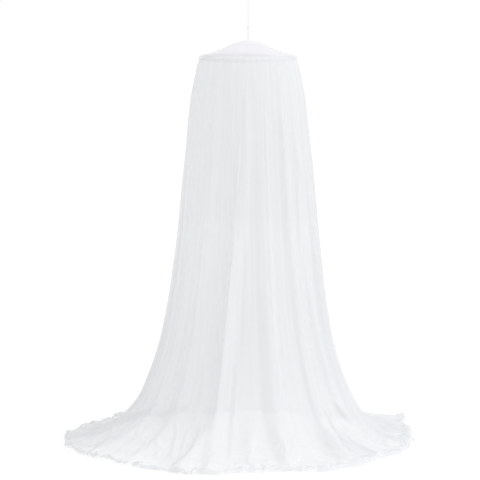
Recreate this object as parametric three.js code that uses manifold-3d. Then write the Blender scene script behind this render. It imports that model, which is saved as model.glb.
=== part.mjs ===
// Mosquito net canopy on a hoop. A shallow cloth cap covers the hoop, a long sheer net falls
// from the cap's rim in uneven folds and spreads in a pool on the floor, and a knotted cord
// hangs it all from a hook under the ceiling. Millimetres, +Z up, the front towards -Y, the
// origin in the middle of the hook plate's flat top.
import * as THREE from 'three';
import { ParametricGeometry } from 'three/addons/geometries/ParametricGeometry.js';
import { mergeVertices } from 'three/addons/utils/BufferGeometryUtils.js';
import Module from 'manifold-3d';

// Driving dimensions
const ceilingHeight = 2720;    // floor to ceiling
const rimRadius = 300;         // outside of the cap's rim band
const rimHeight = 2324;        // lower edge of the rim band, above the floor
const rimBand = 17;            // height of the rim band
const bandShoulder = 5;        // the band's rounded top
const capHeight = 98;          // top of the rim band to the cap's peak
const capCloth = 1.5;
const seamGap = 0.8;           // between the rim band, the hoop and the net's top edge
const hoopWire = 8;
const netCloth = 2;
const netTopHeight = 2329;     // the net's sewn top edge, above the floor
const hemRadius = 1095;
const stemWire = 3;            // cord between the cap and the knot
const loopWire = 2;            // cord between the knot and the hook
const loopEye = 5;             // radius of the loop's round top
const knotHeight = 2516;       // middle of the knot, above the floor
const knotSize = { across: 9, tall: 12 };
const platePlan = { radius: 22, thickness: 6 };
const hookWire = 4;
const hookDrop = 34;           // ceiling to the middle of the hook wire's lowest point
const hookBend = 9;
const touchGap = 0.3;

const rimSteps = 60;           // round the cap and the hoop
const netSteps = 120;          // round the net
const netRows = 18;            // down the net

const degrees = THREE.MathUtils.degToRad;
const ease = THREE.MathUtils.smoothstep;
const mix = THREE.MathUtils.lerp;

function heightToZ(heightAboveFloor) {
  return heightAboveFloor - ceilingHeight;
}

// Materials
const white = (color, roughness, metalness = 0) => (
  new THREE.MeshStandardMaterial({ color, roughness, metalness })
);
const capMaterial = white(0xf4f5f7, 0.85);
const netMaterial = white(0xeceff2, 0.9);
const cordMaterial = white(0xe6e8ea, 0.8);
const hoopMaterial = white(0xf2f2f0, 0.45);
const hookMaterial = white(0xf3f3f1, 0.4);

function part(name, geometry, material) {
  const mesh = new THREE.Mesh(geometry, material);
  mesh.name = name;
  return mesh;
}

// A solid turned about the vertical axis; the profile's x is the radius and y the height.
function turned(profile, steps) {
  const geometry = new THREE.LatheGeometry(profile, steps);
  geometry.rotateX(Math.PI / 2);
  return geometry;
}

// A round cord or wire along a smooth route.
function roundWire(route, diameter, steps, sides = 8) {
  const section = new THREE.Shape();
  section.absarc(0, 0, diameter / 2, 0, Math.PI * 2);
  return new THREE.ExtrudeGeometry(section, {
    steps,
    curveSegments: sides / 2,
    bevelEnabled: false,
    extrudePath: new THREE.CatmullRomCurve3(route, false, 'centripetal'),
  });
}

// Cap: a straight cone of cloth with a soft round peak, turned down over the hoop as a band.
const capOutline = [
  { radius: 0, rise: 1 },
  { radius: 0.13, rise: 0.955 },
  { radius: 0.25, rise: 0.84 },
  { radius: 0.36, rise: 0.7 },
  { radius: 0.5, rise: 0.5 },
  { radius: 0.62, rise: 0.35 },
  { radius: 0.75, rise: 0.205 },
  { radius: 0.86, rise: 0.105 },
  { radius: 0.95, rise: 0.04 },
  { radius: 0.985, rise: 0.01 },
];
const bandTop = rimHeight + rimBand;

function capGeometry() {
  const outside = capOutline.map(({ radius, rise }) => (
    new THREE.Vector2(radius * rimRadius, heightToZ(bandTop + rise * capHeight))
  ));
  outside.push(new THREE.Vector2(rimRadius, heightToZ(bandTop - bandShoulder)));
  outside.push(new THREE.Vector2(rimRadius, heightToZ(rimHeight)));
  const bandInside = rimRadius - capCloth;
  const inside = capOutline.map(({ radius, rise }) => (
    new THREE.Vector2(radius * bandInside, heightToZ(bandTop + rise * capHeight - capCloth))
  ));
  inside.push(new THREE.Vector2(bandInside, heightToZ(bandTop - bandShoulder)));
  inside.push(new THREE.Vector2(bandInside, heightToZ(rimHeight)));
  return turned([...inside, ...outside.reverse()], rimSteps);
}

// Hoop: a plain round rod just inside the rim band.
const hoopRadius = rimRadius - capCloth - seamGap - hoopWire / 2;
const hoopHeight = netTopHeight + seamGap + hoopWire / 2;

function hoopGeometry() {
  const geometry = new THREE.TorusGeometry(hoopRadius, hoopWire / 2, 8, rimSteps);
  geometry.translate(0, 0, heightToZ(hoopHeight));
  return geometry;
}

// Net: its outline between the folds, from the sewn top edge to the hem.
const netTopRadius = rimRadius - capCloth - seamGap;
const netOutline = [
  { height: netTopHeight, radius: netTopRadius },
  { height: 2322, radius: netTopRadius },
  { height: 2290, radius: 308 },
  { height: 2200, radius: 327 },
  { height: 2013, radius: 350 },
  { height: 1645, radius: 381 },
  { height: 1240, radius: 408 },
  { height: 835, radius: 452 },
  { height: 560, radius: 508 },
  { height: 356, radius: 578 },
  { height: 246, radius: 628 },
  { height: 165, radius: 678 },
  { height: 100, radius: 730 },
  { height: 52, radius: 790 },
  { height: 24, radius: 860 },
  { height: 10, radius: 960 },
  { height: 4, radius: hemRadius },
];
const netCurve = new THREE.CatmullRomCurve3(
  netOutline.map(({ height, radius }) => new THREE.Vector3(radius, 0, heightToZ(height))),
  false,
  'centripetal',
);
netCurve.arcLengthDivisions = 600;
// Distances down the net, from its top edge
const netDrop = netCurve.getLength();
const poolStart = netDrop - 620;      // the falling net begins to sweep outwards
const drift = { from: 300, to: 2000 }; // the folds' crests wander between these
const lean = { from: 900, to: 2200, left: 16 };

// Main folds. Angles are degrees from the front, right-hand side positive: rim and foot say
// where the fold's crest runs, left and right how far its two flanks spread. It shows from
// starts below the rim, and stands out by tall at the foot and by hem at the hem.
const mainFolds = [
  { rim: -3, foot: -16.5, left: 5.5, right: 9, starts: 150, tall: 40, hem: 14 },
  { rim: -5, foot: -6.5, left: 5, right: 6, starts: 1700, tall: 22, hem: 12 },
  { rim: 11.5, foot: 14, left: 8, right: 9, starts: 60, tall: 27, hem: 8 },
  { rim: 33.5, foot: 42, left: 8, right: 10, starts: 200, tall: 31, hem: 10 },
  { rim: 52, foot: 59, left: 9, right: 8, starts: 350, tall: 28, hem: 7 },
  { rim: 70, foot: 74, left: 8, right: 9, starts: 150, tall: 32, hem: 12 },
  { rim: 89, foot: 91, left: 9, right: 10, starts: 60, tall: 36, hem: 9 },
  { rim: 110, foot: 108, left: 9, right: 9, starts: 300, tall: 30, hem: 8 },
  { rim: 116, foot: 117, left: 6, right: 8, starts: 1900, tall: 45, hem: 82 },
  { rim: 128, foot: 127, left: 8, right: 9, starts: 100, tall: 36, hem: 8 },
  { rim: 147, foot: 145, left: 10, right: 8, starts: 500, tall: 27, hem: 14 },
  { rim: 164, foot: 162, left: 8, right: 9, starts: 150, tall: 36, hem: 9 },
  { rim: 183, foot: 181, left: 10, right: 10, starts: 250, tall: 33, hem: 10 },
  { rim: 201, foot: 203, left: 8, right: 9, starts: 80, tall: 39, hem: 16 },
  { rim: 222, foot: 224, left: 10, right: 9, starts: 450, tall: 28, hem: 8 },
  { rim: 240, foot: 243, left: 8, right: 8, starts: 120, tall: 35, hem: 12 },
  { rim: 258, foot: 260, left: 8, right: 9, starts: 300, tall: 30, hem: 18 },
  { rim: 274, foot: 275, left: 8, right: 9, starts: 60, tall: 37, hem: 12 },
  { rim: 291, foot: 290, left: 8, right: 9, starts: 400, tall: 27, hem: 16 },
  { rim: 308, foot: 305, left: 9, right: 9, starts: 200, tall: 29, hem: 8 },
  { rim: 327, foot: 321, left: 10, right: 9, starts: 100, tall: 34, hem: 10 },
];

// Smaller ridges that the surplus cloth makes in the pool, unevenly round the hem.
const poolRidges = 30;
const hemBand = 250;                  // they settle lower over this last stretch

function angleApart(a, b) {
  return THREE.MathUtils.euclideanModulo(a - b + 180, 360) - 180;
}

function crest(offset, left, right) {
  const reach = Math.abs(offset) / (offset < 0 ? left : right);
  return reach < 1 ? 0.5 + 0.5 * Math.cos(Math.PI * reach) : 0;
}

function mainFoldHeight(turn, along) {
  let height = 0;
  for (const fold of mainFolds) {
    const centre = mix(fold.rim, fold.foot, ease(along, drift.from, drift.to));
    const grown = ease(along, fold.starts, fold.starts + 1500);
    const early = 0.25 * ease(along, fold.starts, fold.starts + 250);
    const tall = mix(fold.tall, fold.hem, ease(along, poolStart + 100, netDrop));
    const stands = tall * Math.max(grown, early);
    height += stands * crest(angleApart(turn, centre), fold.left, fold.right);
  }
  return height;
}

function poolRidgeHeight(turn, along) {
  let height = 0;
  for (let ridge = 0; ridge < poolRidges; ridge += 1) {
    const centre = (360 * ridge) / poolRidges + 3.4 * Math.sin(2.3 * ridge);
    const spread = 6.2 + 1.4 * Math.sin(1.7 * ridge + 1);
    const grown = ease(along, poolStart + 60 * Math.sin(3.1 * ridge), netDrop - hemBand);
    const settled = mix(1, 0.6, ease(along, netDrop - hemBand, netDrop));
    const tall = (19 + 8 * Math.sin(4.3 * ridge + 2)) * grown * settled;
    height += tall * crest(angleApart(turn, centre), spread, spread);
  }
  return height;
}

// How far the hem reaches beyond its mean circle: further to the left, less to the right and
// at the back, two fuller stretches, and small scallops all round.
function hemReach(turn) {
  const angle = degrees(turn);
  const sideways = -56 * Math.sin(angle);
  const backwards = -15 * (1 - Math.cos(angle));
  const frontFuller = 62 * crest(angleApart(turn, -14), 24, 15);
  const rearFuller = 82 * crest(angleApart(turn, 117), 26, 34);
  const scallops = 11 * Math.sin(19 * angle + 1) + 8 * Math.sin(31 * angle + 2.4 * Math.sin(angle));
  return sideways + backwards + frontFuller + rearFuller + scallops;
}

function netPoint(turn, along) {
  const share = THREE.MathUtils.clamp(along / netDrop, 0, 1);
  const base = netCurve.getPointAt(share);
  const tangent = netCurve.getTangentAt(share);
  const out = mainFoldHeight(turn, along) + poolRidgeHeight(turn, along);
  const angle = degrees(turn);
  const spread = ease(along, poolStart, netDrop) * hemReach(turn);
  const leaning = ease(along, lean.from, lean.to) * ease(netDrop - along, 0, 700);
  const sideways = -lean.left * Math.sin(angle) * leaning;
  const radius = base.x - tangent.z * out + spread + sideways;
  const z = base.z + tangent.x * out;
  return new THREE.Vector3(radius * Math.sin(angle), -radius * Math.cos(angle), z);
}

// The same point moved through the cloth to its inner face.
function netInnerPoint(turn, along) {
  const point = netPoint(turn, along);
  const sideStep = netPoint(turn + 1, along).sub(netPoint(turn - 1, along));
  const downStep = netPoint(turn, Math.min(along + 8, netDrop));
  downStep.sub(netPoint(turn, Math.max(along - 8, 0)));
  const normal = downStep.cross(sideStep).normalize();
  return point.addScaledVector(normal, -netCloth);
}

// The first row closes the part inside the rim band. Below it the rows lie close together
// under the rim and where the net meets the floor, and wide apart between.
const insideBand = netTopHeight - rimHeight + 2;

function rowAlong(row) {
  if (row === 0) {
    return 0;
  }
  const share = (row - 1) / (netRows - 1);
  const spaced = share - 0.09 * Math.sin(2 * Math.PI * share) + 0.12 * share * (1 - share);
  return mix(insideBand, netDrop, spaced);
}

function netGeometry() {
  const rounds = 2 * netRows + 2;
  const geometry = new ParametricGeometry((across, down, target) => {
    const turn = -360 * across;
    const row = Math.round(down * rounds) % rounds;
    const point = row <= netRows
      ? netPoint(turn, rowAlong(row))
      : netInnerPoint(turn, rowAlong(2 * netRows + 1 - row));
    target.copy(point);
  }, netSteps, rounds);
  geometry.deleteAttribute('normal');
  geometry.deleteAttribute('uv');
  return mergeVertices(geometry, 1e-3);
}

// Cord: a short stem up from the cap's peak, a knot, and a narrow loop over the hook.
const peakHeight = bandTop + capHeight;
const knotZ = heightToZ(knotHeight);

function stemGeometry() {
  const foot = new THREE.Vector3(0, 0, heightToZ(peakHeight) + touchGap);
  const head = new THREE.Vector3(0, 0, knotZ - knotSize.tall / 2 - touchGap);
  return roundWire([foot, head], stemWire, 12);
}

function knotGeometry() {
  const geometry = new THREE.SphereGeometry(1, 12, 8);
  geometry.rotateX(Math.PI / 2);
  geometry.scale(knotSize.across / 2, knotSize.across / 2, knotSize.tall / 2);
  geometry.translate(0, 0, knotZ);
  return geometry;
}

function loopGeometry() {
  const strandApart = loopWire / 2 + touchGap;
  const eyeTop = -hookDrop + hookWire / 2 + loopWire / 2 + seamGap;
  const eyeMiddle = eyeTop - loopEye;
  const foot = knotZ + knotSize.tall / 2 + touchGap;
  const route = [
    new THREE.Vector3(0, -strandApart, foot),
    new THREE.Vector3(0, -strandApart - 0.2, foot + 12),
    new THREE.Vector3(0, -2.6, mix(foot, eyeMiddle, 0.5)),
    new THREE.Vector3(0, -4.4, eyeMiddle - 20),
  ];
  for (let step = 0; step <= 8; step += 1) {
    const angle = Math.PI * (step / 8);
    const y = -loopEye * Math.cos(angle);
    route.push(new THREE.Vector3(0, y, eyeMiddle + loopEye * Math.sin(angle)));
  }
  for (const point of route.slice(0, 4).reverse()) {
    route.push(new THREE.Vector3(0, -point.y, point.z));
  }
  return roundWire(route, loopWire, 76);
}

// Ceiling hook: a round plate with a bent wire hook, joined into one piece.
const wasm = await Module();
wasm.setup();

function solid(geometry) {
  const shared = geometry.clone();
  shared.deleteAttribute('normal');
  shared.deleteAttribute('uv');
  const merged = mergeVertices(shared, 1e-4);
  const vertProperties = new Float32Array(merged.attributes.position.array);
  const triVerts = new Uint32Array(merged.index.array);
  return new wasm.Manifold(new wasm.Mesh({ numProp: 3, vertProperties, triVerts }));
}

function fromSolid(manifold) {
  const { vertProperties, triVerts } = manifold.getMesh();
  const geometry = new THREE.BufferGeometry();
  geometry.setAttribute('position', new THREE.BufferAttribute(vertProperties, 3));
  geometry.setIndex(new THREE.BufferAttribute(triVerts, 1));
  return geometry;
}

function hookGeometry() {
  const plate = new THREE.CylinderGeometry(
    platePlan.radius, platePlan.radius - 2, platePlan.thickness, 24,
  );
  plate.rotateX(Math.PI / 2);
  plate.translate(0, 0, -platePlan.thickness / 2);
  const middle = -hookDrop + hookBend;
  const route = [
    new THREE.Vector3(0, 0, -platePlan.thickness / 2),
    new THREE.Vector3(0, 0, -platePlan.thickness - 4),
    new THREE.Vector3(-4, 0, middle + 10),
  ];
  for (let step = 0; step <= 10; step += 1) {
    const angle = Math.PI * (0.9 + 1.2 * (step / 10));
    const across = hookBend * Math.cos(angle);
    route.push(new THREE.Vector3(across, 0, middle + hookBend * Math.sin(angle)));
  }
  const wire = roundWire(route, hookWire, 40);
  return fromSolid(solid(plate).add(solid(wire)));
}

const canopy = new THREE.Group();
canopy.add(
  part('ceiling_hook', hookGeometry(), hookMaterial),
  part('cord_loop', loopGeometry(), cordMaterial),
  part('knot', knotGeometry(), cordMaterial),
  part('cord_stem', stemGeometry(), cordMaterial),
  part('cap', capGeometry(), capMaterial),
  part('hoop', hoopGeometry(), hoopMaterial),
  part('net', netGeometry(), netMaterial),
);

export default canopy;
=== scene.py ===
import math
import random
from collections import namedtuple

import bmesh
import bpy
import numpy as np
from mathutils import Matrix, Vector


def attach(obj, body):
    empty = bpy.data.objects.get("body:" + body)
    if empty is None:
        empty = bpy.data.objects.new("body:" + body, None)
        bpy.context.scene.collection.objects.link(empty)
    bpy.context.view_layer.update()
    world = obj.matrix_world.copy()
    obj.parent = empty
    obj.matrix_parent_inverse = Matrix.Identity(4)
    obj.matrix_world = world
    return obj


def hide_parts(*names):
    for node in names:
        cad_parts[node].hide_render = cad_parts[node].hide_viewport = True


# A round mosquito net canopy: a cloth cap over a hoop, a long sheer net that pools on the
# floor, and the cord and hook that hold it. Metres, +Z up, the front towards -Y, the origin
# in the middle of the hook plate's flat top against the ceiling.
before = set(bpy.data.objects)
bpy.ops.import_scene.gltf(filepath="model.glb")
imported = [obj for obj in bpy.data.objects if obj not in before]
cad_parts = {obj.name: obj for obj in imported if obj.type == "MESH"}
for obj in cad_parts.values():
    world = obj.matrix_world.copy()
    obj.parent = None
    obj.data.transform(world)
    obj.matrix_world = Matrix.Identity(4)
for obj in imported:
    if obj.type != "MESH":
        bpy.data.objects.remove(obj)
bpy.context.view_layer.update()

CEILING = 2.72                       # floor to ceiling
FLOOR_Z = -CEILING
RIM_RADIUS = 0.300
RIM_HEIGHT = 2.324                   # lower edge of the cap's rim band, above the floor
RIM_BAND = 0.017
BAND_TOP = RIM_HEIGHT + RIM_BAND
CAP_HEIGHT = 0.098                   # peak above the top of the rim band
CAP_CLOTH = 0.0015                   # thickness
SEAM_GAP = 0.0008                    # between pieces that are sewn or lie on each other
NET_TOP_HEIGHT = 2.329
HEM_RADIUS = 1.095
STEM_WIRE = 0.003                    # the cord's diameter below the knot
LOOP_WIRE = 0.002                    # and in each leg of the loop
LOOP_EYE = 0.005
KNOT_HEIGHT = 2.516
KNOT_ACROSS, KNOT_TALL = 0.009, 0.012
HEM_FOLD = 0.018                     # the hem is turned up twice and sewn
HEM_ARCH = 0.017                     # the stiff hem curls up by as much as this
CLEAR_OF_FLOOR = 0.0025              # the lowest that the net's cloth may lie
HOOK_WIRE = 0.004
HOOK_DROP = 0.034
TOUCH_GAP = 0.0003                   # between pieces that touch


def height_to_z(height):
    """A height above the floor in the scene's own upward direction."""
    return height - CEILING


def ease(value, low, high):
    """A soft step: 0 up to low, 1 from high on."""
    share = np.clip((value - low) / (high - low), 0.0, 1.0)
    return share * share * (3 - 2 * share)


def mix(low, high, share):
    """A value that goes from low to high as share goes from 0 to 1."""
    return low + (high - low) * share


# ---------------------------------------------------------------- camera

CAMERA_LENS = 117.03
CAMERA_ASIDE, CAMERA_AWAY, CAMERA_HEIGHT = -0.0489, 9.556, 1.667
CAMERA_TIPPED = 2.678                # degrees downwards


def make_camera():
    """Eye height, level with a standing adult, from far away through a long lens."""
    data = bpy.data.cameras.new("camera")
    data.lens = CAMERA_LENS
    data.sensor_width = 36
    data.clip_end = 60
    camera = bpy.data.objects.new("camera", data)
    camera.location = (CAMERA_ASIDE, -CAMERA_AWAY, height_to_z(CAMERA_HEIGHT))
    camera.rotation_euler = (math.radians(90 - CAMERA_TIPPED), 0, 0)
    bpy.context.scene.collection.objects.link(camera)
    bpy.context.scene.camera = camera


make_camera()


# ---------------------------------------------------------------- materials

def linear(hex_colour):
    """An sRGB hex value as linear red, green, blue and alpha."""
    channels = [int(hex_colour[k:k + 2], 16) / 255 for k in (1, 3, 5)]
    curve = [c / 12.92 if c <= 0.04045 else ((c + 0.055) / 1.055) ** 2.4 for c in channels]
    return (*curve, 1.0)


def add_node(tree, kind, settings=None, links=None):
    """Adds a node; settings are its properties or sockets, links feed its sockets."""
    node = tree.nodes.new(kind)
    for name, value in (settings or {}).items():
        if isinstance(name, int) or name in node.inputs:
            node.inputs[name].default_value = value
        else:
            setattr(node, name, value)
    for name, source in (links or {}).items():
        tree.links.new(source, node.inputs[name])
    return node


def new_material(name):
    """An empty material and its node tree."""
    material = bpy.data.materials.new(name)
    material.use_nodes = True
    tree = material.node_tree
    tree.nodes.clear()
    return material, tree


# How much of the net's face is thread: it changes from low to high over a stretch of the
# drop, between start and end in metres below the rim.
CoverChange = namedtuple("CoverChange", "way start end low high")
NET_THINNEST, NET_DENSEST = 0.57, 0.63
HEM_EDGE = 0.003                     # how sharply the hem's second layer begins
MESH_PITCH = 0.002                   # real size of one mesh
MESH_DEPTH = 0.04                    # how far a mesh's middle and its threads differ in cover


def mosquito_netting():
    """Mosquito netting: polyester threads warp-knitted into open 2 mm meshes. Light and
    whatever is behind come through the holes, and the threads are dull white and glow a
    little with light from the far side. The meshes are at real size. The bunching is about
    14 cm across and 2 m down, as long soft streaks where the gathers bring threads together."""
    material, tree = new_material("mosquito_netting")
    uv = add_node(tree, "ShaderNodeUVMap", {"uv_map": "cloth"})
    streaks = add_node(tree, "ShaderNodeMapping", {"Scale": (7, 0.5, 1)},
                       {"Vector": uv.outputs["UV"]})
    bunching = add_node(tree, "ShaderNodeTexNoise", {"Scale": 1.0, "Detail": 3.0},
                        {"Vector": streaks.outputs["Vector"]})
    dense = add_node(tree, "ShaderNodeMapRange",
                     {"From Min": 0.3, "From Max": 0.7,
                      "To Min": NET_THINNEST, "To Max": NET_DENSEST},
                     {"Value": bunching.outputs["Fac"]})
    meshes = add_node(tree, "ShaderNodeTexVoronoi",
                      {"Scale": 1 / MESH_PITCH, "Randomness": 0.2},
                      {"Vector": uv.outputs["UV"]})
    open_mesh = add_node(tree, "ShaderNodeMapRange",
                         {"From Min": 0.0, "From Max": 0.7,
                          "To Min": -MESH_DEPTH, "To Max": MESH_DEPTH},
                         {"Value": meshes.outputs["Distance"]})
    hem_start = NET_DROP - HEM_FOLD
    # Besides the real turned-up hem, these changes of cover paint light and shade by height:
    # lighter near the rim and on the floor, darker lower on the wall.
    hem_and_painted_light_down_the_drop = [
        CoverChange("LINEAR", hem_start, hem_start + HEM_EDGE, 0.0, 0.30),   # turned-up hem
        CoverChange("SMOOTHSTEP", 0.0, 0.45, -0.06, 0.0),                    # thinner near the rim: painted light, as if lit from above
        CoverChange("SMOOTHSTEP", 1.0, 2.1, 0.0, 0.08),                      # denser lower on the wall: painted shade
        CoverChange("SMOOTHSTEP", 2.2, 2.55, 0.0, -0.05),                    # thinner where it lies on the floor: painted light
    ]
    split = add_node(tree, "ShaderNodeSeparateXYZ", None, {"Vector": uv.outputs["UV"]})
    changes = [
        add_node(tree, "ShaderNodeMapRange",
                 {"interpolation_type": change.way,
                  "From Min": change.start, "From Max": change.end,
                  "To Min": change.low, "To Max": change.high},
                 {"Value": split.outputs["Y"]})
        for change in hem_and_painted_light_down_the_drop
    ]
    cover = dense.outputs["Result"]
    for change in [*changes, open_mesh]:
        cover = add_node(tree, "ShaderNodeMath", {"operation": "ADD", "use_clamp": True},
                         {0: cover, 1: change.outputs["Result"]}).outputs["Value"]
    thread = add_node(tree, "ShaderNodeBsdfPrincipled",
                      {"Base Color": linear("#ecedef"), "Roughness": 0.85})
    glow = add_node(tree, "ShaderNodeBsdfTranslucent", {"Color": linear("#ecedef")})
    cloth = add_node(tree, "ShaderNodeMixShader", {0: 0.30},
                     {1: thread.outputs["BSDF"], 2: glow.outputs["BSDF"]})
    holes = add_node(tree, "ShaderNodeBsdfTransparent")
    sheer = add_node(tree, "ShaderNodeMixShader", None,
                     {0: cover, 1: holes.outputs["BSDF"], 2: cloth.outputs["Shader"]})
    add_node(tree, "ShaderNodeOutputMaterial", None, {"Surface": sheer.outputs["Shader"]})
    return material


def cap_cloth():
    """Polyester voile: fine threads in a close plain weave, softly dull, thin enough for
    light to come through. Its grain is drawn about 1 mm across, coarser than real threads of
    0.3 mm, so that it shows at all."""
    material, tree = new_material("woven_cap_cloth")
    where = add_node(tree, "ShaderNodeTexCoord")
    weave = add_node(tree, "ShaderNodeTexNoise", {"Scale": 900.0, "Detail": 2.0},
                     {"Vector": where.outputs["Object"]})
    bump = add_node(tree, "ShaderNodeBump", {"Strength": 0.15, "Distance": 0.0004},
                    {"Height": weave.outputs["Fac"]})
    thread = add_node(tree, "ShaderNodeBsdfPrincipled",
                      {"Base Color": linear("#f9f9fb"), "Roughness": 0.8},
                      {"Normal": bump.outputs["Normal"]})
    glow = add_node(tree, "ShaderNodeBsdfTranslucent", {"Color": linear("#fafafc")})
    cloth = add_node(tree, "ShaderNodeMixShader", {0: 0.60},
                     {1: thread.outputs["BSDF"], 2: glow.outputs["BSDF"]})
    holes = add_node(tree, "ShaderNodeBsdfTransparent")
    sheer = add_node(tree, "ShaderNodeMixShader", {0: 0.74},
                     {1: holes.outputs["BSDF"], 2: cloth.outputs["Shader"]})
    add_node(tree, "ShaderNodeOutputMaterial", None, {"Surface": sheer.outputs["Shader"]})
    return material


def twisted_cord():
    """White polyester cord, twisted from thin strands: dull, with a fine slanting grain. The
    strands cross about every 2 mm, near their real spacing. Its base colour is grey,
    painted shade for a white cord that hangs in shade."""
    material, tree = new_material("twisted_polyester_cord")
    where = add_node(tree, "ShaderNodeTexCoord")
    slant = add_node(tree, "ShaderNodeMapping", {"Rotation": (math.radians(35), 0, 0)},
                     {"Vector": where.outputs["Object"]})
    strands = add_node(tree, "ShaderNodeTexWave",
                       {"bands_direction": "Z", "Scale": 160.0, "Distortion": 0.6},
                       {"Vector": slant.outputs["Vector"]})
    bump = add_node(tree, "ShaderNodeBump", {"Strength": 0.5, "Distance": 0.0003},
                    {"Height": strands.outputs["Fac"]})
    # The grey base colour is painted shade: the cord itself is white.
    thread = add_node(tree, "ShaderNodeBsdfPrincipled",
                      {"Base Color": linear("#cfd0d2"), "Roughness": 0.75},
                      {"Normal": bump.outputs["Normal"]})
    add_node(tree, "ShaderNodeOutputMaterial", None, {"Surface": thread.outputs["BSDF"]})
    return material


def hoop_plastic():
    """Undyed polypropylene, moulded as a round rod: milky, so light comes part of the way
    through and the hoop hardly shows inside the sheer cloth. Its skin is satin, with shallow
    ripples about 17 mm across from cooling."""
    material, tree = new_material("milky_moulded_plastic")
    where = add_node(tree, "ShaderNodeTexCoord")
    ripple = add_node(tree, "ShaderNodeTexNoise", {"Scale": 60.0, "Detail": 1.0},
                      {"Vector": where.outputs["Object"]})
    bump = add_node(tree, "ShaderNodeBump", {"Strength": 0.2, "Distance": 0.0005},
                    {"Height": ripple.outputs["Fac"]})
    satin = add_node(tree, "ShaderNodeMapRange", {"To Min": 0.36, "To Max": 0.50},
                     {"Value": ripple.outputs["Fac"]})
    body = add_node(tree, "ShaderNodeBsdfPrincipled",
                    {"Base Color": linear("#f8f8f6"), "IOR": 1.49},
                    {"Normal": bump.outputs["Normal"], "Roughness": satin.outputs["Result"]})
    glow = add_node(tree, "ShaderNodeBsdfTranslucent", {"Color": linear("#f8f8f6")})
    milky = add_node(tree, "ShaderNodeMixShader", {0: 0.5},
                     {1: body.outputs["BSDF"], 2: glow.outputs["BSDF"]})
    clear = add_node(tree, "ShaderNodeBsdfTransparent")
    rod = add_node(tree, "ShaderNodeMixShader", {0: 0.55},
                   {1: clear.outputs["BSDF"], 2: milky.outputs["Shader"]})
    add_node(tree, "ShaderNodeOutputMaterial", None, {"Surface": rod.outputs["Shader"]})
    return material


def hook_paint():
    """Baked enamel on the steel hook and plate: glossy, with the faint waviness that paint
    dries to, about 1.5 mm across."""
    material, tree = new_material("white_baked_enamel")
    where = add_node(tree, "ShaderNodeTexCoord")
    peel = add_node(tree, "ShaderNodeTexNoise", {"Scale": 700.0, "Detail": 1.0},
                    {"Vector": where.outputs["Object"]})
    bump = add_node(tree, "ShaderNodeBump", {"Strength": 0.12, "Distance": 0.0002},
                    {"Height": peel.outputs["Fac"]})
    gloss = add_node(tree, "ShaderNodeMapRange", {"To Min": 0.22, "To Max": 0.34},
                     {"Value": peel.outputs["Fac"]})
    body = add_node(tree, "ShaderNodeBsdfPrincipled",
                    {"Base Color": linear("#f4f4f2"), "IOR": 1.5},
                    {"Normal": bump.outputs["Normal"], "Roughness": gloss.outputs["Result"]})
    add_node(tree, "ShaderNodeOutputMaterial", None, {"Surface": body.outputs["BSDF"]})
    return material


def finish_piece(piece, material):
    """Gives a piece its finish and lets it ride with the canopy's one body."""
    piece.data.materials.append(material)
    if piece.type == "MESH":
        piece.data.shade_smooth()
    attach(piece, "root")


def piece_from(name, builder):
    """An object at the origin from a bmesh."""
    mesh = bpy.data.meshes.new(name)
    builder.to_mesh(mesh)
    builder.free()
    made = bpy.data.objects.new(name, mesh)
    bpy.context.scene.collection.objects.link(made)
    return made


# ---------------------------------------------------------------- cord

def cord_curve(name, route, diameter):
    """A round cord along a route of points."""
    data = bpy.data.curves.new(name, "CURVE")
    data.dimensions = "3D"
    data.bevel_depth = diameter / 2
    data.bevel_resolution = 3
    data.resolution_u = 6
    data.use_fill_caps = True
    spline = data.splines.new("BEZIER")
    spline.bezier_points.add(len(route) - 1)
    for point, place in zip(spline.bezier_points, route):
        point.co = place
        point.handle_left_type = "AUTO"
        point.handle_right_type = "AUTO"
    made = bpy.data.objects.new(name, data)
    bpy.context.scene.collection.objects.link(made)
    return made


PEAK_Z = height_to_z(BAND_TOP + CAP_HEIGHT)
KNOT_Z = height_to_z(KNOT_HEIGHT)


def stem_route():
    """Straight up from the cap's peak to the knot."""
    foot = PEAK_Z + TOUCH_GAP
    head = KNOT_Z - KNOT_TALL / 2 - TOUCH_GAP
    return [Vector((0, 0, mix(foot, head, step / 14))) for step in range(15)]


def loop_route():
    """From the knot up one leg, over the hook and down the other."""
    apart = LOOP_WIRE / 2 + TOUCH_GAP
    eye_top = -HOOK_DROP + HOOK_WIRE / 2 + LOOP_WIRE / 2 + SEAM_GAP
    eye_middle = eye_top - LOOP_EYE
    foot = KNOT_Z + KNOT_TALL / 2 + TOUCH_GAP
    rising = [
        Vector((0, -apart, foot)),
        Vector((0, -apart - 0.0002, foot + 0.012)),
        Vector((0, -0.0026, mix(foot, eye_middle, 0.5))),
        Vector((0, -0.0044, eye_middle - 0.020)),
    ]
    eye = []
    for step in range(9):
        angle = math.pi * step / 8
        rise = eye_middle + LOOP_EYE * math.sin(angle)
        eye.append(Vector((0, -LOOP_EYE * math.cos(angle), rise)))
    falling = [Vector((0, -point.y, point.z)) for point in reversed(rising)]
    return rising + eye + falling


def make_knot():
    """An overhand knot drawn tight: a trefoil of the same cord."""
    data = bpy.data.curves.new("tied_knot", "CURVE")
    data.dimensions = "3D"
    data.bevel_depth = STEM_WIRE * 0.46
    data.bevel_resolution = 3
    spline = data.splines.new("NURBS")
    turns = 36
    spline.points.add(turns - 1)
    for step in range(turns):
        angle = 2 * math.pi * step / turns
        swing = 2 + math.cos(3 * angle)
        side = (KNOT_ACROSS / 2 - STEM_WIRE / 2) / 3
        tall = (KNOT_TALL / 2 - STEM_WIRE / 2) / 3
        spline.points[step].co = (side * swing * math.cos(2 * angle),
                                  side * 1.25 * math.sin(3 * angle),
                                  KNOT_Z + tall * swing * math.sin(2 * angle), 1)
    spline.use_cyclic_u = True
    spline.order_u = 4
    made = bpy.data.objects.new("tied_knot", data)
    bpy.context.scene.collection.objects.link(made)
    return made


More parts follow.
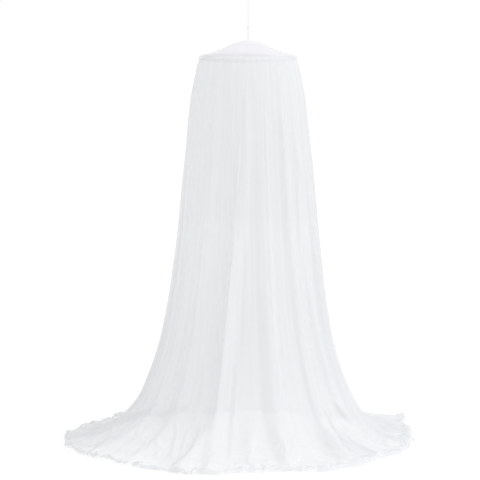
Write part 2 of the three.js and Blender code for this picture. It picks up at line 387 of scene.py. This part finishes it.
cord_finish = twisted_cord()
knot = make_knot()
stem = cord_curve("hanging_cord", stem_route(), STEM_WIRE)
loop = cord_curve("hanging_loop", loop_route(), LOOP_WIRE)
for piece, node in ((knot, "knot"), (stem, "cord_stem"), (loop, "cord_loop")):
    finish_piece(piece, cord_finish)
    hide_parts(node)


# ---------------------------------------------------------------- net

Outline = namedtuple("Outline", "height radius")
NET_TOP_RADIUS = RIM_RADIUS - CAP_CLOTH - SEAM_GAP
NET_OUTLINE = [
    Outline(NET_TOP_HEIGHT, NET_TOP_RADIUS),
    Outline(2.322, NET_TOP_RADIUS),
    Outline(2.290, 0.308),
    Outline(2.200, 0.327),
    Outline(2.013, 0.350),
    Outline(1.645, 0.381),
    Outline(1.240, 0.408),
    Outline(0.835, 0.452),
    Outline(0.560, 0.508),
    Outline(0.356, 0.578),
    Outline(0.246, 0.628),
    Outline(0.165, 0.678),
    Outline(0.100, 0.730),
    Outline(0.052, 0.790),
    Outline(0.024, 0.860),
    Outline(0.010, 0.960),
    Outline(0.004, HEM_RADIUS),
]


def smooth_line(points, per_span=40):
    """A soft curve through points, each span bent by the directions of its neighbours."""
    points = np.array(points, float)
    before = np.vstack([2 * points[0] - points[1], points[:-1]])
    after = np.vstack([points[1:], 2 * points[-1] - points[-2]])
    gap_before = np.sqrt(np.linalg.norm(points - before, axis=1))[:, None]
    gap_after = np.sqrt(np.linalg.norm(after - points, axis=1))[:, None]
    slope = ((points - before) / gap_before - (after - before) / (gap_before + gap_after)
             + (after - points) / gap_after)
    share = np.linspace(0, 1, per_span, endpoint=False)[:, None]
    line = []
    for k in range(len(points) - 1):
        gap = gap_after[k]
        start, end = slope[k] * gap, slope[k + 1] * gap
        line.append((2 * share**3 - 3 * share**2 + 1) * points[k]
                    + (share**3 - 2 * share**2 + share) * start
                    + (3 * share**2 - 2 * share**3) * points[k + 1]
                    + (share**3 - share**2) * end)
    line.append(points[-1:])
    return np.vstack(line)


NET_LINE = smooth_line([(point.radius, height_to_z(point.height)) for point in NET_OUTLINE])
NET_ALONG = np.concatenate([[0], np.cumsum(np.linalg.norm(np.diff(NET_LINE, axis=0), axis=1))])
NET_DROP = float(NET_ALONG[-1])
NET_SLOPE = np.gradient(NET_LINE, NET_ALONG, axis=0)
POOL_START = NET_DROP - 0.620

# The crest of each fold runs from rim to foot, in degrees from the front, right-hand side
# positive; left and right are how far its flanks spread. It shows from starts below the rim,
# and stands out by tall at the foot and by hem at the hem.
Fold = namedtuple("Fold", "rim foot left right starts tall hem")
MAIN_FOLDS = [
    Fold(-3, -16.5, 5.5, 9, 0.15, 0.040, 0.014),
    Fold(-5, -6.5, 5, 6, 1.70, 0.022, 0.012),
    Fold(11.5, 14, 8, 9, 0.06, 0.027, 0.008),
    Fold(33.5, 42, 8, 10, 0.20, 0.031, 0.010),
    Fold(52, 59, 9, 8, 0.35, 0.028, 0.007),
    Fold(70, 74, 8, 9, 0.15, 0.032, 0.012),
    Fold(89, 91, 9, 10, 0.06, 0.036, 0.009),
    Fold(110, 108, 9, 9, 0.30, 0.030, 0.008),
    Fold(116, 117, 6, 8, 1.90, 0.045, 0.082),
    Fold(128, 127, 8, 9, 0.10, 0.036, 0.008),
    Fold(147, 145, 10, 8, 0.50, 0.027, 0.014),
    Fold(164, 162, 8, 9, 0.15, 0.036, 0.009),
    Fold(183, 181, 10, 10, 0.25, 0.033, 0.010),
    Fold(201, 203, 8, 9, 0.08, 0.039, 0.016),
    Fold(222, 224, 10, 9, 0.45, 0.028, 0.008),
    Fold(240, 243, 8, 8, 0.12, 0.035, 0.012),
    Fold(258, 260, 8, 9, 0.30, 0.030, 0.018),
    Fold(274, 275, 8, 9, 0.06, 0.037, 0.012),
    Fold(291, 290, 8, 9, 0.40, 0.027, 0.016),
    Fold(308, 305, 9, 9, 0.20, 0.029, 0.008),
    Fold(327, 321, 10, 9, 0.10, 0.034, 0.010),
]
POOL_RIDGES = 30
HEM_BAND = 0.25


# Narrow creases on the flanks of the main folds, laid out the same way.
Crease = namedtuple("Crease", "rim foot left right starts tall")
CREASES = [
    Crease(-8.5, -15.5, 2.4, 3.0, 0.25, 0.014),
    Crease(-3, -7.5, 2.4, 2.8, 1.75, 0.010),
    Crease(16.5, 18.5, 2.4, 2.4, 0.12, 0.008),
    Crease(33, 38, 2.4, 2.4, 0.10, 0.008),
    Crease(50, 45, 2.4, 2.6, 0.20, 0.009),
    Crease(44, 57, 2.2, 2.4, 1.20, 0.008),
    Crease(66, 70, 2.6, 3.0, 0.40, 0.009),
    Crease(-36, -38, 3.6, 4.5, 0.30, 0.008),
    Crease(-24, -27, 3.2, 3.6, 1.60, 0.007),
    Crease(-52, -56, 3.0, 3.6, 0.80, 0.008),
    Crease(-74, -78, 2.6, 3.2, 0.30, 0.009),
    Crease(85, 88, 2.4, 3.0, 0.20, 0.010),
    Crease(112, 111, 3.0, 2.4, 0.50, 0.010),
    Crease(131, 128, 2.4, 2.8, 0.15, 0.009),
    Crease(150, 152, 3.0, 2.4, 0.60, 0.010),
    Crease(168, 163, 2.4, 2.8, 0.10, 0.011),
    Crease(187, 184, 2.8, 2.4, 0.50, 0.009),
    Crease(205, 208, 2.4, 3.0, 0.20, 0.011),
    Crease(226, 222, 2.8, 2.4, 0.90, 0.009),
    Crease(246, 249, 2.4, 2.8, 0.15, 0.010),
    Crease(266, 262, 3.0, 2.4, 0.60, 0.010),
]


def angle_apart(a, b):
    """Degrees from b to a the short way round, with its sign."""
    return (a - b + 180) % 360 - 180


def crest(offset, left, right):
    """A soft hump, 1 in its middle and 0 from left or right degrees away."""
    reach = np.abs(offset) / np.where(offset < 0, left, right)
    return np.where(reach < 1, 0.5 + 0.5 * np.cos(np.pi * np.minimum(reach, 1)), 0)


def main_fold_height(turn, along):
    """The deep folds that fall from the rim and spread out at the foot."""
    height = np.zeros_like(turn)
    for fold in MAIN_FOLDS:
        centre = mix(fold.rim, fold.foot, ease(along, 0.30, 2.00))
        grown = ease(along, fold.starts, fold.starts + 1.5)
        early = 0.25 * ease(along, fold.starts, fold.starts + 0.25)
        tall = mix(fold.tall, fold.hem, ease(along, POOL_START + 0.1, NET_DROP))
        height += tall * np.maximum(grown, early) * crest(
            angle_apart(turn, centre), fold.left, fold.right)
    return height


def pool_ridge_height(turn, along):
    """Low ridges of the cloth that lies on the floor."""
    height = np.zeros_like(turn)
    for ridge in range(POOL_RIDGES):
        centre = 360 * ridge / POOL_RIDGES + 3.4 * math.sin(2.3 * ridge)
        spread = 6.2 + 1.4 * math.sin(1.7 * ridge + 1)
        grown = ease(along, POOL_START + 0.06 * math.sin(3.1 * ridge), NET_DROP - HEM_BAND)
        settled = mix(1, 0.6, ease(along, NET_DROP - HEM_BAND, NET_DROP))
        tall = (0.019 + 0.008 * math.sin(4.3 * ridge + 2)) * grown * settled
        height += tall * crest(angle_apart(turn, centre), spread, spread)
    return height


def crease_height(turn, along):
    """The narrow creases beside the main folds."""
    height = np.zeros_like(turn)
    for line in CREASES:
        centre = mix(line.rim, line.foot, ease(along, 0.30, 2.00))
        shown = ease(along, line.starts, line.starts + 0.5)
        faded = 1 - 0.7 * ease(along, POOL_START, NET_DROP)
        height += line.tall * shown * faded * crest(
            angle_apart(turn, centre), line.left, line.right)
    return height


FALL_RIDGE_TALL = 0.040


def ridge_wave(turn):
    """About forty uneven ridges round the hem, from 0 to 1."""
    angle = np.radians(turn)
    wave = np.sin(41 * angle + 2.6 * np.sin(3 * angle + 0.4) + 1.9 * np.sin(7 * angle))
    uneven = 0.62 + 0.38 * np.sin(11 * angle + 1.3 * np.sin(5 * angle))
    smooth_front = 1 - 0.8 * crest(angle_apart(turn, 4), 16, 16)
    return uneven * smooth_front * (0.5 + 0.5 * wave)


def small_fold_height(turn, along):
    """Thin soft folds that come and go between the main ones, each over part of the drop."""
    chance = random.Random(11)
    height = np.zeros_like(turn)
    for _ in range(90):
        centre = chance.uniform(0, 360) + chance.uniform(-3, 3) * ease(along, 0.3, 2.2)
        spread = chance.uniform(2.0, 4.5)
        first = chance.uniform(-0.3, 1.8)
        last = first + chance.uniform(0.7, 1.6)
        tall = chance.uniform(0.0015, 0.0045)
        shown = ease(along, first, first + 0.5) * (1 - ease(along, last - 0.4, last))
        height += tall * shown * crest(angle_apart(turn, centre), spread, spread)
    return height


def gather_height(turn, along):
    """Tiny pleats where the net is sewn to the cap, gone a hand's width below."""
    angle = np.radians(turn)
    pleats = np.sin(72 * angle + 1.7 * np.sin(5 * angle)) * (0.6 + 0.4 * np.sin(11 * angle))
    fades = ease(along, 0.004, 0.03) * (1 - ease(along, 0.03, 0.22))
    return 0.0004 * pleats * fades


def hem_reach(turn):
    """How much further or nearer the hem lies than an even ring."""
    angle = np.radians(turn)
    sideways = -0.056 * np.sin(angle)
    backwards = -0.015 * (1 - np.cos(angle))
    front_fuller = 0.062 * crest(angle_apart(turn, -14), 24, 15)
    rear_fuller = 0.082 * crest(angle_apart(turn, 117), 26, 34)
    scallops = 0.011 * np.sin(19 * angle + 1) + 0.008 * np.sin(31 * angle + 2.4 * np.sin(angle))
    return sideways + backwards + front_fuller + rear_fuller + scallops


def drawn_forward(turn):
    """How far the pool's front edge is pulled out towards the room."""
    return (0.055 * crest(angle_apart(turn, -14), 54, 30)
            + 0.105 * crest(angle_apart(turn, 25), 26, 25))


def net_surface(turn, along):
    """Points of the net for arrays of turns in degrees and distances below the rim."""
    base = [np.interp(along, NET_ALONG, NET_LINE[:, k]) for k in (0, 1)]
    slope = [np.interp(along, NET_ALONG, NET_SLOPE[:, k]) for k in (0, 1)]
    out = (main_fold_height(turn, along) + pool_ridge_height(turn, along)
           + crease_height(turn, along) + small_fold_height(turn, along)
           + gather_height(turn, along))
    angle = np.radians(turn)
    spread = ease(along, POOL_START, NET_DROP) * hem_reach(turn)
    leaning = ease(along, 0.9, 2.2) * ease(NET_DROP - along, 0, 0.7)
    sideways = -0.016 * np.sin(angle) * leaning
    radius = base[0] - slope[1] * out + spread + sideways
    height = base[1] + slope[0] * out
    forward = ease(along, 2.3, NET_DROP) * drawn_forward(turn)
    return np.stack([radius * np.sin(angle), -radius * np.cos(angle) - forward, height],
                    axis=-1)


NET_COLUMNS, NET_ROWS = 640, 150
NET_WIDTH = 7.1                      # the cut cloth along the hem
RowsDown = namedtuple("RowsDown", "share along")
ROW_PLAN = [RowsDown(0.0, 0.0), RowsDown(0.12, 0.10), RowsDown(0.50, 1.90),
            RowsDown(0.98, NET_DROP - HEM_FOLD), RowsDown(1.0, NET_DROP)]
FALL_FROM = 2.08                     # below this the net is let fall onto the floor
FALL_COLUMNS, FALL_ROWS = 360, 44
FALL_FRAMES = 36


def unrolled_grid(name, columns, rows):
    """A grid object, and each vertex's share of the way round and down it."""
    builder = bmesh.new()
    builder.loops.layers.uv.new("cloth")
    bmesh.ops.create_grid(builder, x_segments=columns, y_segments=rows, size=0.5,
                          calc_uvs=True)
    made = piece_from(name, builder)
    flat = np.zeros(len(made.data.vertices) * 3)
    made.data.vertices.foreach_get("co", flat)
    flat = flat.reshape(-1, 3)
    return made, flat[:, 0] + 0.5, 0.5 - flat[:, 1]


def close_tube(mesh):
    """Joins the grid's two ends where they meet."""
    builder = bmesh.new()
    builder.from_mesh(mesh)
    bmesh.ops.remove_doubles(builder, verts=builder.verts, dist=1e-5)
    bmesh.ops.recalc_face_normals(builder, faces=builder.faces)
    builder.to_mesh(mesh)
    builder.free()


def let_fall():
    """Drops the lower net onto the floor and returns its points, by row and column."""
    scene = bpy.context.scene
    skirt, share_round, share_down = unrolled_grid("falling_skirt", FALL_COLUMNS, FALL_ROWS)
    mesh = skirt.data
    column = np.rint(share_round * FALL_COLUMNS).astype(int) % FALL_COLUMNS
    row = np.rint(share_down * FALL_ROWS).astype(int)
    along = mix(FALL_FROM, NET_DROP, share_down)
    start = net_surface(180 + 360 * share_round, along)
    fuller_ridges = FALL_RIDGE_TALL * ease(along, POOL_START - 0.1, NET_DROP - 0.2)
    start[:, 2] += fuller_ridges * ridge_wave(180 + 360 * share_round)
    mesh.vertices.foreach_set("co", start.ravel())
    for name, values in (("column", column), ("row", row)):
        mesh.attributes.new(name, "INT", "POINT").data.foreach_set("value", values)
    close_tube(mesh)
    count = len(mesh.vertices)
    column, row = np.zeros(count, int), np.zeros(count, int)
    mesh.attributes["column"].data.foreach_get("value", column)
    mesh.attributes["row"].data.foreach_get("value", row)
    held = skirt.vertex_groups.new(name="held")
    fuller = skirt.vertex_groups.new(name="fuller")
    for vert in range(count):
        distance = mix(FALL_FROM, NET_DROP, row[vert] / FALL_ROWS)
        held.add([vert], float(1 - ease(distance, FALL_FROM + 0.10, FALL_FROM + 0.42)), "REPLACE")
        fuller.add([vert], float(ease(distance, FALL_FROM + 0.20, NET_DROP - 0.2)), "REPLACE")

    builder = bmesh.new()
    bmesh.ops.create_circle(builder, cap_ends=True, radius=3, segments=24)
    bmesh.ops.translate(builder, verts=builder.verts, vec=(0, 0, FLOOR_Z))
    ground = piece_from("falling_ground", builder)
    ground.modifiers.new("collision", "COLLISION")
    ground.collision.thickness_outer = 0.002
    ground.collision.cloth_friction = 40

    fall = skirt.modifiers.new("fall", "CLOTH")
    cloth = fall.settings
    cloth.quality = 6
    cloth.mass = 0.02
    cloth.air_damping = 3
    cloth.tension_stiffness = 12
    cloth.compression_stiffness = 12
    cloth.shear_stiffness = 3
    cloth.bending_stiffness = 0.3
    cloth.tension_damping = 4
    cloth.compression_damping = 4
    cloth.shear_damping = 2
    cloth.bending_damping = 0.5
    cloth.vertex_group_mass = "held"
    cloth.pin_stiffness = 1
    cloth.vertex_group_shrink = "fuller"
    cloth.shrink_min = 0
    cloth.shrink_max = -0.14
    fall.collision_settings.distance_min = 0.003
    fall.collision_settings.collision_quality = 2
    fall.collision_settings.use_self_collision = False
    fall.point_cache.frame_start = 1
    fall.point_cache.frame_end = FALL_FRAMES
    scene.frame_start, scene.frame_end = 1, FALL_FRAMES
    for frame_number in range(1, FALL_FRAMES + 1):
        scene.frame_set(frame_number)
    settled = skirt.evaluated_get(bpy.context.evaluated_depsgraph_get()).to_mesh()
    points = np.zeros(count * 3)
    settled.vertices.foreach_get("co", points)
    points = points.reshape(-1, 3)
    points[:, 2] = np.maximum(points[:, 2], FLOOR_Z + CLEAR_OF_FLOOR)
    by_place = np.zeros((FALL_ROWS + 1, FALL_COLUMNS, 3))
    by_place[row, column] = points
    for helper in (skirt, ground):
        bpy.data.objects.remove(helper)
    scene.frame_set(1)
    return by_place


def between_points(line_of, share):
    """The soft curve through four neighbouring values, at a share from the second on."""
    before, start, end, after = line_of
    share = share[:, None]
    return 0.5 * (2 * start + (end - before) * share
                  + (2 * before - 5 * start + 4 * end - after) * share**2
                  + (3 * start - before - 3 * end + after) * share**3)


def fallen_surface(fallen, share_round, along):
    """The fallen net's points between those that were let fall."""
    across = (share_round * FALL_COLUMNS) % FALL_COLUMNS
    down = (along - FALL_FROM) / (NET_DROP - FALL_FROM) * FALL_ROWS
    column, row = np.floor(across).astype(int), np.floor(down).astype(int)
    row = np.clip(row, 0, FALL_ROWS - 1)
    rows = []
    for step in (-1, 0, 1, 2):
        near = np.clip(row + step, 0, FALL_ROWS)
        rows.append(between_points(
            [fallen[near, (column + side) % FALL_COLUMNS] for side in (-1, 0, 1, 2)],
            across - column))
    return between_points(rows, down - row)


# Each drag fold runs from head to foot, in degrees, between high and low, in metres below
# the rim; it is wide degrees to each side and tall metres in its middle.
Crumple = namedtuple("Crumple", "head foot high low wide tall")
CRUMPLES = [
    Crumple(-93, -94, 2.46, 2.95, 1.3, 0.013),
    Crumple(-88, -88, 2.38, 2.92, 1.1, 0.010),
    Crumple(-83, -83, 2.44, 2.95, 1.2, 0.014),
    Crumple(-78, -77, 2.36, 2.90, 1.1, 0.011),
    Crumple(-73, -71, 2.42, 2.93, 1.2, 0.012),
    Crumple(-56, -48, 2.19, 2.74, 22, 0.034),
    Crumple(14, 12, 2.10, 2.70, 46, 0.026),
    Crumple(-66, -60, 2.16, 2.52, 1.5, 0.012),
    Crumple(-57, -49, 2.20, 2.46, 1.4, 0.009),
    Crumple(-47, -40, 2.30, 2.58, 1.5, 0.010),
    Crumple(-40, -33, 2.34, 2.52, 1.4, 0.010),
    Crumple(-37, -28, 2.15, 2.50, 1.6, 0.014),
    Crumple(-30.5, -24, 2.18, 2.56, 1.5, 0.010),
    Crumple(-24, -19.5, 2.14, 2.52, 1.7, 0.013),
    Crumple(15, 14, 2.33, 2.64, 1.4, 0.009),
    Crumple(20, 16.5, 2.22, 2.58, 1.6, 0.013),
    Crumple(31, 34, 2.30, 2.56, 1.6, 0.010),
    Crumple(38, 42, 2.30, 2.54, 1.7, 0.010),
    Crumple(43, 44.5, 2.10, 2.46, 1.8, 0.013),
    Crumple(55, 60, 2.06, 2.38, 1.9, 0.013),
    Crumple(66, 64, 2.28, 2.60, 1.6, 0.011),
    Crumple(78, 76, 2.34, 2.70, 1.5, 0.011),
    Crumple(86, 88, 2.44, 2.95, 1.3, 0.013),
    Crumple(94, 96, 2.40, 2.92, 1.4, 0.014),
    Crumple(102, 101, 2.48, 2.98, 1.4, 0.012),
    Crumple(113, 114, 2.36, 3.20, 5.0, 0.042),
    Crumple(128, 131, 2.24, 2.60, 1.8, 0.012),
    Crumple(146, 141, 2.30, 2.70, 2.0, 0.013),
    Crumple(163, 168, 2.20, 2.55, 1.8, 0.012),
    Crumple(-174, -178, 2.28, 2.66, 1.9, 0.013),
    Crumple(-160, -154, 2.22, 2.58, 1.8, 0.012),
    Crumple(-143, -147, 2.30, 2.64, 1.9, 0.013),
    Crumple(-127, -122, 2.18, 2.56, 1.7, 0.012),
    Crumple(-109, -112, 2.32, 2.72, 1.7, 0.013),
]


def crumple_height(turn, along):
    """Short drag folds where the net's weight comes to rest on the floor."""
    height = np.zeros_like(turn)
    for line in CRUMPLES:
        share = np.clip((along - line.high) / (line.low - line.high), 0, 1)
        centre = mix(line.head, line.foot, share)
        height += line.tall * np.sin(np.pi * share) * crest(
            angle_apart(turn, centre), line.wide, line.wide)
    return height


def crumpled(points, turn, along):
    """Raises the crumples: out of the cloth's face where it hangs, upwards where it lies."""
    order = np.lexsort((turn, along))
    shape = (NET_ROWS + 1, NET_COLUMNS + 1)
    sheet = points[order].reshape(*shape, 3)
    around = np.roll(sheet[:, :-1], -1, axis=1) - np.roll(sheet[:, :-1], 1, axis=1)
    normal = np.cross(around, np.gradient(sheet[:, :-1], axis=0))
    normal /= np.linalg.norm(normal, axis=-1, keepdims=True)
    normal *= np.sign(normal[0, 0, 1] * sheet[0, 0, 1])
    lying = ease(along[order], 2.15, 2.45).reshape(shape)[:, :-1, None]
    raised = mix(normal, np.array([0.0, 0.0, 1.0]), lying)
    tall = crumple_height(turn[order], along[order]).reshape(shape)[:, :-1, None]
    sheet[:, :-1] += raised * tall
    sheet[:, -1] = sheet[:, 0]
    sheet[..., 2] = np.maximum(sheet[..., 2], FLOOR_Z + CLEAR_OF_FLOOR)
    points[order] = sheet.reshape(-1, 3)
    return points


def curl_hem(points, share_round, along):
    """The turned-up hem is stiffer than the net, so it stands off the floor unevenly and
    its very edge dips down again."""
    angle = 2 * np.pi * share_round
    stiff = 0.7 + 0.3 * np.sin(47 * angle + 2.2 * np.sin(5 * angle))
    arched = ease(along, NET_DROP - 0.09, NET_DROP - HEM_FOLD)
    tucked = ease(along, NET_DROP - 0.012, NET_DROP)
    points[:, 2] += HEM_ARCH * stiff * arched * (1 - tucked)


def make_net():
    """The tube of net in the shape of its folds, with its flat cut as the uv map."""
    net, share_round, share_down = unrolled_grid("hanging_net", NET_COLUMNS, NET_ROWS)
    mesh = net.data
    along = np.interp(share_down, [plan.share for plan in ROW_PLAN],
                      [plan.along for plan in ROW_PLAN])
    points = net_surface(180 + 360 * share_round, along)
    fallen = let_fall()
    lower = along >= FALL_FROM
    moved = fallen_surface(fallen, share_round[lower], along[lower])
    kept = 1 - ease(along[lower], FALL_FROM, FALL_FROM + 0.25)[:, None]
    points[lower] = mix(moved, points[lower], kept)
    points = crumpled(points, 180 + 360 * share_round, along)
    curl_hem(points, share_round, along)
    mesh.vertices.foreach_set("co", points.ravel())
    corner = np.zeros(len(mesh.loops), int)
    mesh.loops.foreach_get("vertex_index", corner)
    uv = np.stack([share_round * NET_WIDTH, along], axis=-1)[corner]
    mesh.uv_layers["cloth"].data.foreach_set("uv", uv.ravel())
    close_tube(mesh)
    return net


net = make_net()
finish_piece(net, mosquito_netting())
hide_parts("net")


# ---------------------------------------------------------------- cap

CapPoint = namedtuple("CapPoint", "radius rise")
CAP_OUTLINE = [
    CapPoint(0.0, 1.0),
    CapPoint(0.13, 0.955),
    CapPoint(0.25, 0.84),
    CapPoint(0.36, 0.70),
    CapPoint(0.50, 0.50),
    CapPoint(0.62, 0.35),
    CapPoint(0.75, 0.205),
    CapPoint(0.86, 0.105),
    CapPoint(0.95, 0.035),
]


SHOULDER_IN, SHOULDER_DOWN = 0.0035, 0.002   # where the cap's cloth turns down over the hoop
BAND_IN, BAND_DOWN = 0.0003, 0.009
CAP_STEPS = 180
PUCKERS, PUCKER_DEPTH = 60, 0.0006


def make_cap():
    """The cap's cloth spun round, with the tiny puckers that the seam leaves at its edge."""
    builder = bmesh.new()
    line = [(point.radius * RIM_RADIUS, height_to_z(BAND_TOP + point.rise * CAP_HEIGHT))
            for point in CAP_OUTLINE]
    line.append((RIM_RADIUS - SHOULDER_IN, height_to_z(BAND_TOP - SHOULDER_DOWN)))
    line.append((RIM_RADIUS - BAND_IN, height_to_z(BAND_TOP - BAND_DOWN)))
    line.append((RIM_RADIUS, height_to_z(RIM_HEIGHT)))
    line = smooth_line(line, per_span=5)
    verts = [builder.verts.new((radius, 0, z)) for radius, z in line]
    edges = [builder.edges.new(pair) for pair in zip(verts, verts[1:])]
    bmesh.ops.spin(builder, geom=verts + edges, cent=(0, 0, 0), axis=(0, 0, 1),
                   angle=2 * math.pi, steps=CAP_STEPS, use_merge=True, use_duplicate=False)
    bmesh.ops.remove_doubles(builder, verts=builder.verts, dist=1e-5)
    bmesh.ops.recalc_face_normals(builder, faces=builder.faces)
    for vert in builder.verts:
        turn = math.atan2(vert.co.x, -vert.co.y)
        out = math.hypot(vert.co.x, vert.co.y) / RIM_RADIUS
        pucker = math.sin(PUCKERS * turn + 1.5 * math.sin(7 * turn))
        near_rim = float(ease(out, 0.78, 0.95) * (1 - ease(out, 0.985, 1)))
        vert.co.z += PUCKER_DEPTH * pucker * near_rim
    cap = piece_from("cloth_cap", builder)
    cloth = cap.modifiers.new("cloth", "SOLIDIFY")
    cloth.thickness = CAP_CLOTH
    cloth.offset = -1
    return cap


cap = make_cap()
finish_piece(cap, cap_cloth())
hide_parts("cap")

for node, finish in (("hoop", hoop_plastic()), ("ceiling_hook", hook_paint())):
    for material_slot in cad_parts[node].material_slots:
        material_slot.material = finish


# ---------------------------------------------------------------- studio

WORLD_LIGHT = 0.53                   # what the surroundings give to the cloth
WORLD_SHOWN = 1.02                   # and how bright they look themselves
FLOOR_GLOW = 0.14                    # lifts the floor to the white of the surroundings


def make_floor():
    """A wide white floor that runs into the white surroundings."""
    builder = bmesh.new()
    bmesh.ops.create_circle(builder, cap_ends=True, radius=40, segments=64)
    bmesh.ops.translate(builder, verts=builder.verts, vec=(0, 0, FLOOR_Z))
    floor = piece_from("floor", builder)
    material, tree = new_material("white_studio_floor")
    body = add_node(tree, "ShaderNodeBsdfPrincipled",
                    {"Base Color": linear("#fbfbfb"), "Roughness": 0.9,
                     "Emission Color": (1, 1, 1, 1), "Emission Strength": FLOOR_GLOW})
    add_node(tree, "ShaderNodeOutputMaterial", None, {"Surface": body.outputs["BSDF"]})
    floor.data.materials.append(material)


SoftLight = namedtuple("SoftLight", "name place strength wide")


def make_light():
    """Even white surroundings, a very soft light from the right and one from above."""
    world = bpy.data.worlds.new("studio")
    world.use_nodes = True
    tree = world.node_tree
    tree.nodes.clear()
    seen = add_node(tree, "ShaderNodeLightPath")
    lit = add_node(tree, "ShaderNodeBackground", {"Color": (1, 1, 1, 1), "Strength": WORLD_LIGHT})
    shown = add_node(tree, "ShaderNodeBackground",
                     {"Color": (1, 1, 1, 1), "Strength": WORLD_SHOWN})
    both = add_node(tree, "ShaderNodeMixShader", None,
                    {0: seen.outputs["Is Camera Ray"], 1: lit.outputs["Background"],
                     2: shown.outputs["Background"]})
    add_node(tree, "ShaderNodeOutputWorld", None, {"Surface": both.outputs["Shader"]})
    bpy.context.scene.world = world
    lights = [
        SoftLight("key", place=(4.46, -1.19, 2.14), strength=1.05, wide=50),
        SoftLight("overhead", place=(-0.5, -1.2, 3.0), strength=1.0, wide=120),
    ]
    for light in lights:
        data = bpy.data.lights.new(light.name, "SUN")
        data.angle = math.radians(light.wide)
        data.energy = light.strength
        lamp = bpy.data.objects.new(light.name, data)
        lamp.location = light.place
        aim = Vector((0, 0, height_to_z(1.0))) - lamp.location
        lamp.rotation_euler = aim.to_track_quat("-Z", "Y").to_euler()
        bpy.context.scene.collection.objects.link(lamp)


make_floor()
make_light()
bpy.context.scene.view_settings.view_transform = "Standard"
